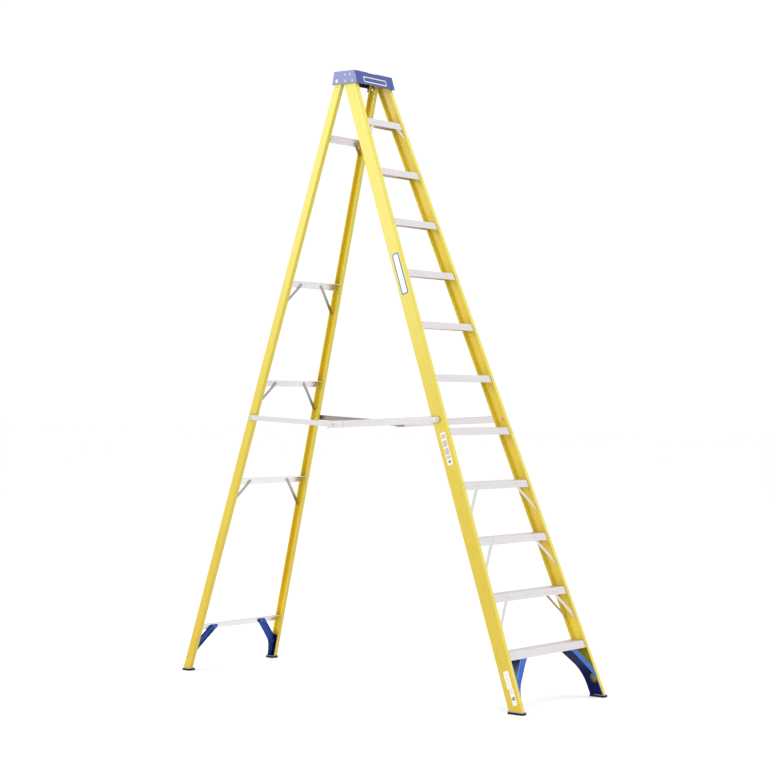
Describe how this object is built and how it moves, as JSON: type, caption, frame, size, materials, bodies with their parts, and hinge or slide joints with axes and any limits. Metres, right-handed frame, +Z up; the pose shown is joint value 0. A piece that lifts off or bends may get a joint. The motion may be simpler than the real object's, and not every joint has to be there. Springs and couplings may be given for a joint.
{
  "type": "step ladder",
  "caption": "Tall fibreglass twin-leg step ladder with flat metal treads, a moulded top cap, braced feet and folding side spreaders.",
  "frame": {"origin": "on the floor, midway between the feet of the two sections and centred across the treads", "axes": "+X across the treads, +Y from the climbing side towards the supporting section, +Z up"},
  "size_m": [0.8202, 2.3758, 3.4148],
  "materials": {
    "rail_yellow": "satin pultruded fibreglass, through-coloured yellow",
    "aluminium": "mill finish, fine extrusion lines",
    "blue_plastic": "fine moulded grain",
    "shoe_rubber": "matt, grooved sole",
    "steel_fastener": "zinc-plated heads"
  },
  "bodies": {
    "front_section": {"front_rail_left": "rail_yellow", "front_rail_right": "rail_yellow", "step_01": "aluminium", "step_02": "aluminium", "step_03": "aluminium", "step_04": "aluminium", "step_05": "aluminium", "step_06": "aluminium", "step_07": "aluminium", "step_08": "aluminium", "step_09": "aluminium", "step_10": "aluminium", "step_11": "aluminium", "step_brace_11_left": "aluminium", "step_brace_11_right": "aluminium", "step_brace_04_left": "aluminium", "step_brace_04_right": "aluminium", "step_brace_03_left": "aluminium", "step_brace_03_right": "aluminium", "step_brace_02_left": "aluminium", "step_brace_02_right": "aluminium", "step_brace_02_rear_left": "aluminium", "step_brace_02_rear_right": "aluminium", "front_foot_brace_left": "blue_plastic", "front_foot_brace_right": "blue_plastic", "front_shoe_left": "shoe_rubber", "front_shoe_right": "shoe_rubber", "top_cap": "blue_plastic", "front_rivets": "steel_fastener", "fold_pins": "steel_fastener", "spreader_front_pins": "steel_fastener"},
    "rear_section": {"rear_rail_left": "rail_yellow", "rear_rail_right": "rail_yellow", "rear_bar_1": "aluminium", "rear_bar_2": "aluminium", "rear_bar_3": "aluminium", "rear_bar_4": "aluminium", "rear_bar_5": "aluminium", "rear_brace_2_left": "aluminium", "rear_brace_2_right": "aluminium", "rear_brace_3_left": "aluminium", "rear_brace_3_right": "aluminium", "rear_brace_4_left": "aluminium", "rear_brace_4_right": "aluminium", "rear_brace_5_left": "aluminium", "rear_brace_5_right": "aluminium", "rear_foot_brace_left": "blue_plastic", "rear_foot_brace_right": "blue_plastic", "rear_shoe_left": "shoe_rubber", "rear_shoe_right": "shoe_rubber", "rear_rivets": "steel_fastener", "spreader_rear_pins": "steel_fastener"},
    "front_bar_left": {"spreader_front_left": "aluminium", "spreader_lock_left": "aluminium", "knee_pin_left": "steel_fastener"},
    "front_bar_right": {"spreader_front_right": "aluminium", "spreader_lock_right": "aluminium", "knee_pin_right": "steel_fastener"},
    "rear_bar_left": {"spreader_rear_left": "aluminium"},
    "rear_bar_right": {"spreader_rear_right": "aluminium"}
  },
  "joints": [
    {"name": "fold", "type": "hinge", "parent": "front_section", "child": "rear_section", "pos_m": [0, 0.266, 3.36], "axis": [-1, 0, 0], "range_deg": [0, 36.5]},
    {"name": "spreader_front_left_pivot", "type": "hinge", "parent": "front_section", "child": "front_bar_left", "pos_m": [-0.3067, -0.55919, 1.4825], "axis": [1, 0, 0], "range_deg": [0, 70.39]},
    {"name": "spreader_rear_left_pivot", "type": "hinge", "parent": "rear_section", "child": "rear_bar_left", "pos_m": [-0.302, 0.7687, 1.47], "axis": [-1, 0, 0], "range_deg": [0, 72.15]},
    {"name": "spreader_front_right_pivot", "type": "hinge", "parent": "front_section", "child": "front_bar_right", "pos_m": [0.3067, -0.55919, 1.4825], "axis": [1, 0, 0], "range_deg": [0, 70.39]},
    {"name": "spreader_rear_right_pivot", "type": "hinge", "parent": "rear_section", "child": "rear_bar_right", "pos_m": [0.302, 0.7687, 1.47], "axis": [-1, 0, 0], "range_deg": [0, 72.15]}
  ],
  "couplings": [
    {"joint": "spreader_front_left_pivot", "follows": "fold", "ratio": 1.9258},
    {"joint": "spreader_rear_left_pivot", "follows": "fold", "ratio": 1.9741},
    {"joint": "spreader_front_right_pivot", "follows": "fold", "ratio": 1.9258},
    {"joint": "spreader_rear_right_pivot", "follows": "fold", "ratio": 1.9741}
  ]
}
